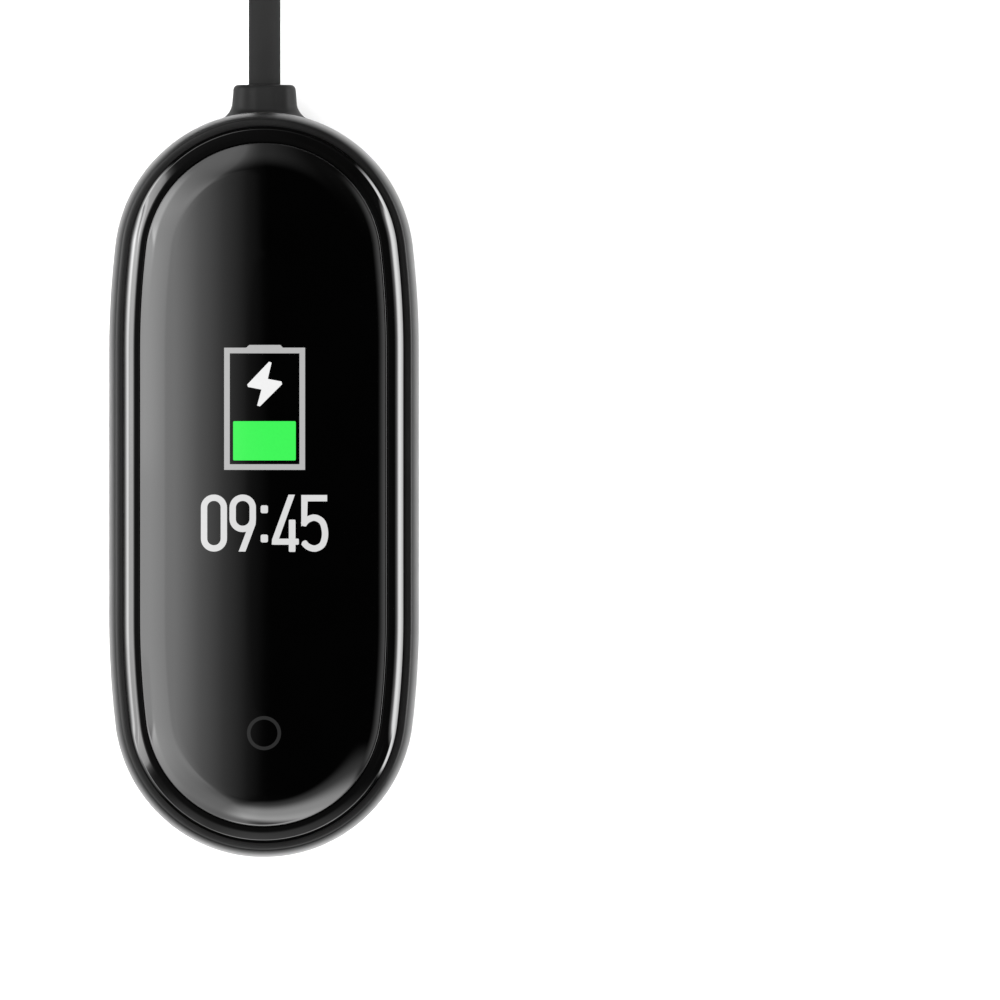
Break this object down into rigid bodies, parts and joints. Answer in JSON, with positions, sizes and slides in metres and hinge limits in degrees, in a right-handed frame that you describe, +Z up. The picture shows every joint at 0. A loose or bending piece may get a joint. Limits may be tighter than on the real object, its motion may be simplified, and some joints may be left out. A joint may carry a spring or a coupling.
{
  "type": "fitness tracker in charging dock",
  "caption": "Oval fitness tracker capsule with touch display, seated in a clip-in charging dock with spring contacts and a short lead ending in a USB plug.",
  "frame": {"origin": "centre of the dock's flat underside", "axes": "+Z up out of the tracker's screen, +Y along the dock towards the lead's neck, +X to the right of the screen"},
  "size_m": [0.0326, 0.1161, 0.0154],
  "materials": {
    "dock_plastic": "fine moulded satin",
    "contact_plastic": "smooth",
    "nickel": "bright nickel plate",
    "spring_steel": "drawn wire",
    "gold": "gold flash",
    "circuit_board": "solder mask",
    "chip_black": "moulded",
    "wire_red": "smooth",
    "wire_black": "smooth",
    "lead_rubber": "satin",
    "tie_black": "satin",
    "plug_plastic": "fine moulded satin",
    "plug_steel": "plated",
    "plug_insulator": "smooth white",
    "tracker_gloss": "polished",
    "cover_glass": "polished, printed black below",
    "gasket_black": "soft",
    "display_black": "polished",
    "flex_amber": "polyimide film",
    "frame_grey": "moulded",
    "battery_foil": "pouch foil",
    "led_resin": "clear resin",
    "sensor_glass": "polished, tinted",
    "rotor_tungsten": "sintered"
  },
  "bodies": {
    "dock": {"dock_shell": "dock_plastic", "dock_base_cover": "dock_plastic", "contact_block": "contact_plastic", "pogo_barrels": "nickel", "pogo_spring_left": "spring_steel", "pogo_spring_right": "spring_steel", "charge_board": "circuit_board", "charge_board_parts": "chip_black", "wire_positive": "wire_red", "wire_negative": "wire_black", "lead_grommet": "lead_rubber", "lead_cable": "lead_rubber", "lead_coil": "lead_rubber", "lead_tail": "lead_rubber", "coil_tie": "tie_black", "plug_overmould": "plug_plastic", "plug_shell": "plug_steel", "plug_tongue": "plug_insulator", "plug_contacts": "gold"},
    "pogo_left": {"pogo_pin_left": "gold"},
    "pogo_right": {"pogo_pin_right": "gold"},
    "tracker": {"tracker_housing": "tracker_gloss", "cover_glass": "cover_glass", "glass_gasket": "gasket_black", "display_panel": "display_black", "touch_pad": "flex_amber", "inner_frame": "frame_grey", "main_board": "circuit_board", "board_chips": "chip_black", "shield_can": "nickel", "flex_connector": "chip_black", "display_flex": "flex_amber", "sensor_flex": "flex_amber", "battery": "battery_foil", "sensor_board": "circuit_board", "sensor_leds": "led_resin", "sensor_photodiode": "chip_black", "sensor_window": "sensor_glass", "charge_pads": "gold", "motor_case": "nickel", "motor_base": "nickel", "motor_shaft": "spring_steel"},
    "rotor": {"motor_rotor": "rotor_tungsten"}
  },
  "joints": [
    {"name": "tracker_lift", "type": "slide", "parent": "dock", "child": "tracker", "axis": [0, 0, 1], "range_m": [0, 0.022]},
    {"name": "pogo_left_press", "type": "slide", "parent": "dock", "child": "pogo_left", "axis": [0, 0, -1], "range_m": [0, 0.0005], "stiffness_N_per_m": 400, "deforming": ["pogo_spring_left"]},
    {"name": "pogo_right_press", "type": "slide", "parent": "dock", "child": "pogo_right", "axis": [0, 0, -1], "range_m": [0, 0.0005], "stiffness_N_per_m": 400, "deforming": ["pogo_spring_right"]},
    {"name": "motor_spin", "type": "hinge", "parent": "tracker", "child": "rotor", "pos_m": [0, -0.0156, 0.0086], "axis": [0, 0, 1], "continuous": true}
  ]
}
